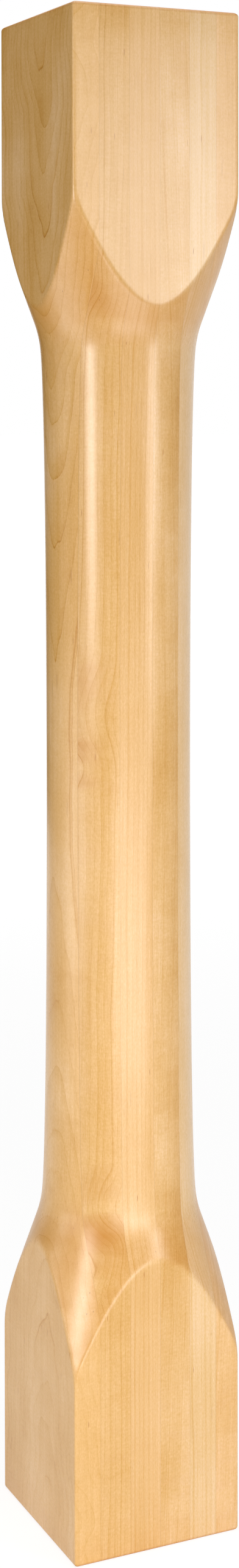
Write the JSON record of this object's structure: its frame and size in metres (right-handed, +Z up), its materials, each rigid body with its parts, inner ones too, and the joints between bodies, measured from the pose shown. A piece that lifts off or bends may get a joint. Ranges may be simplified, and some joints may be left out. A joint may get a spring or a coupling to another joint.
{
  "type": "turned wooden post",
  "caption": "Square post turned round between its two end blocks, for standing under a counter, island or table top.",
  "frame": {"origin": "centre of the foot, on the floor", "axes": "+Z up along the axis of turning, +X and +Y square to the flat sides of the blocks"},
  "size_m": [0.127, 0.127, 1.0732],
  "materials": {
    "maple": "satin sanded"
  },
  "bodies": {
    "root": {"post": "maple"}
  },
  "joints": []
}
